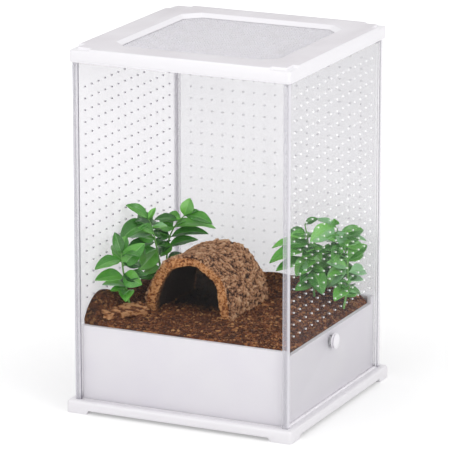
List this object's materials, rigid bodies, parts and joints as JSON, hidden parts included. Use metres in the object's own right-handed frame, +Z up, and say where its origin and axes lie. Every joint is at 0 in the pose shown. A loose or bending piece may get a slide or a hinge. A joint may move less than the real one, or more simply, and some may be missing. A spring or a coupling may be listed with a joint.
{
  "type": "terrarium",
  "caption": "Upright clear terrarium box with perforated sides, a top-hung side door with a magnet knob, a planted soil tray with a cork hide, and a lift-off white mesh lid.",
  "frame": {"origin": "middle of the base's footprint, on the surface it stands on", "axes": "+Z up, -Y towards the front window, +X towards the door"},
  "size_m": [0.208, 0.208, 0.314],
  "materials": {
    "white_plastic": "satin moulded white",
    "knob_plastic": "gloss white",
    "clear_profile": "extruded clear, milky at its edges",
    "clear_sheet": "clear acrylic sheet",
    "perforated_sheet": "clear acrylic sheet with small air holes",
    "steel": "satin",
    "woven_mesh": "fine woven mesh",
    "soil": "damp coir and soil",
    "cork": "rough cork bark",
    "leaf": "soft green leaves"
  },
  "bodies": {
    "root": {"base_frame": "white_plastic", "corner_post_front_left": "clear_profile", "corner_post_front_right": "clear_profile", "corner_post_back_left": "clear_profile", "corner_post_back_right": "clear_profile", "front_window": "clear_sheet", "back_panel": "perforated_sheet", "left_panel": "perforated_sheet", "door_header": "perforated_sheet", "hinge_pin_front": "steel", "hinge_pin_back": "steel", "substrate_tray": "white_plastic", "tray_magnet": "steel", "substrate": "soil", "cork_bark": "cork", "bark_chip": "cork", "plant_front_left": "leaf", "plant_middle_left": "leaf", "plant_back_left": "leaf", "plant_back_middle": "leaf", "plant_back_right": "leaf"},
    "door": {"door_panel": "perforated_sheet", "door_knob": "knob_plastic", "knob_magnet": "steel"},
    "lid": {"lid_frame": "white_plastic", "lid_mesh": "woven_mesh", "mesh_retainer": "white_plastic", "retainer_screw_front": "steel", "retainer_screw_back": "steel", "retainer_screw_left": "steel", "retainer_screw_right": "steel"}
  },
  "joints": [
    {"name": "door_hinge", "type": "hinge", "parent": "root", "child": "door", "pos_m": [0.09525, 0, 0.2992], "axis": [0, -1, 0], "range_deg": [0, 95]},
    {"name": "lid_lift", "type": "slide", "parent": "root", "child": "lid", "axis": [0, 0, 1], "range_m": [0, 0.06]}
  ]
}
